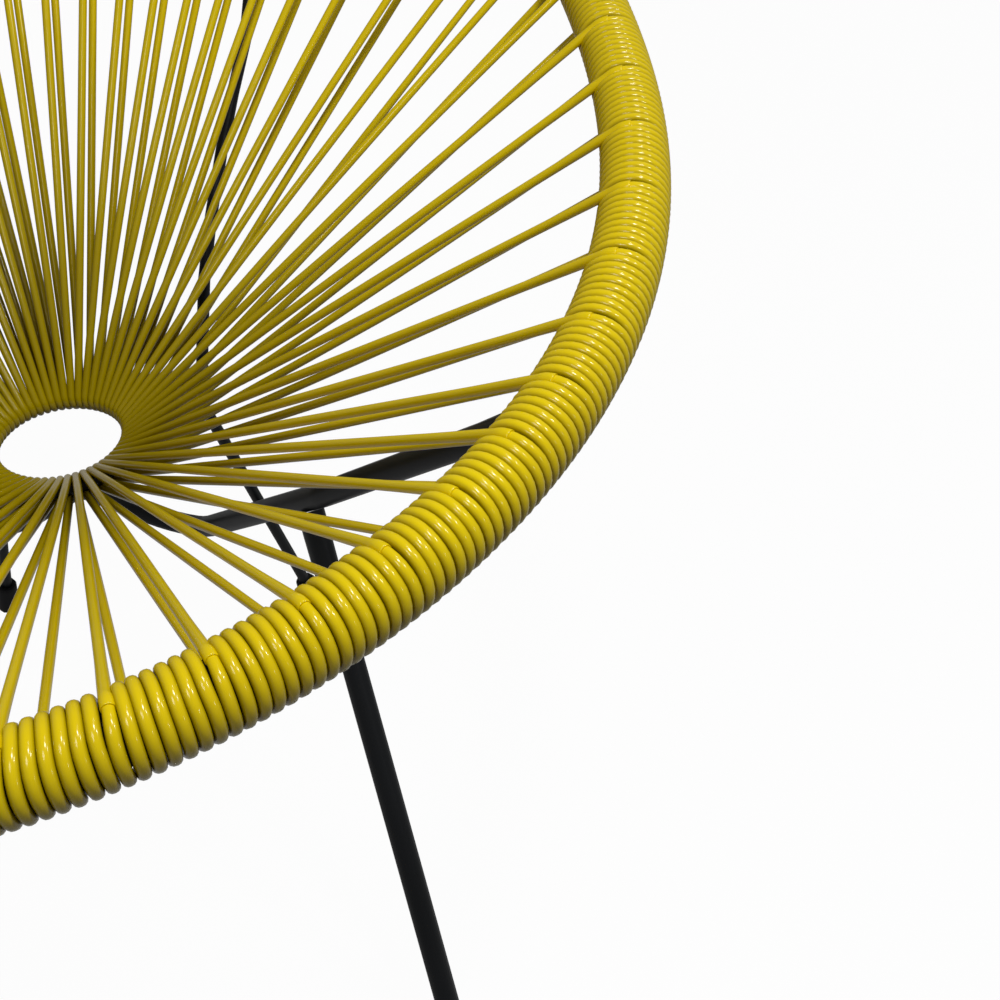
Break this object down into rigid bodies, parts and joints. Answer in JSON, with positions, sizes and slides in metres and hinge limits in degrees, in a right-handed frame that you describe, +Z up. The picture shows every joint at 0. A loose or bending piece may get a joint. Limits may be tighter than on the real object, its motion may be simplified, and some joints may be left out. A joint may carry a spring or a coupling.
{
  "type": "string lounge chair",
  "caption": "Low lounge chair with an egg-shaped wound rim, a web of stretched cord drawn to a small ring, and a bent tube stand.",
  "frame": {"origin": "on the floor, below the middle of the overall box", "axes": "+Z up, -Y the way the sitter faces, X across; the middle plane is x = 0"},
  "size_m": [0.7016, 0.9072, 0.9056],
  "materials": {
    "cord": "glossy yellow plastic cord",
    "frame": "satin black powder coat",
    "caps": "matt black"
  },
  "bodies": {
    "root": {"rim_tube": "frame", "ring_rod": "frame", "side_bar_right": "frame", "side_bar_left": "frame", "front_leg_right": "frame", "front_leg_left": "frame", "rear_leg_right": "frame", "rear_leg_left": "frame", "tie_rod_right": "frame", "tie_rod_left": "frame", "front_foot_cap_right": "caps", "front_foot_cap_left": "caps", "rear_foot_cap_right": "caps", "rear_foot_cap_left": "caps", "cord_wound_1": "cord", "cord_wound_2": "cord", "cord_wound_3": "cord", "cord_right_01": "cord", "cord_right_02": "cord", "cord_right_03": "cord", "cord_right_04": "cord", "cord_right_05": "cord", "cord_right_06": "cord", "cord_right_07": "cord", "cord_right_08": "cord", "cord_left_01": "cord", "cord_left_02": "cord", "cord_left_03": "cord", "cord_left_04": "cord", "cord_left_05": "cord", "cord_left_06": "cord", "cord_left_07": "cord", "cord_left_08": "cord", "cord_left_09": "cord"}
  },
  "joints": []
}
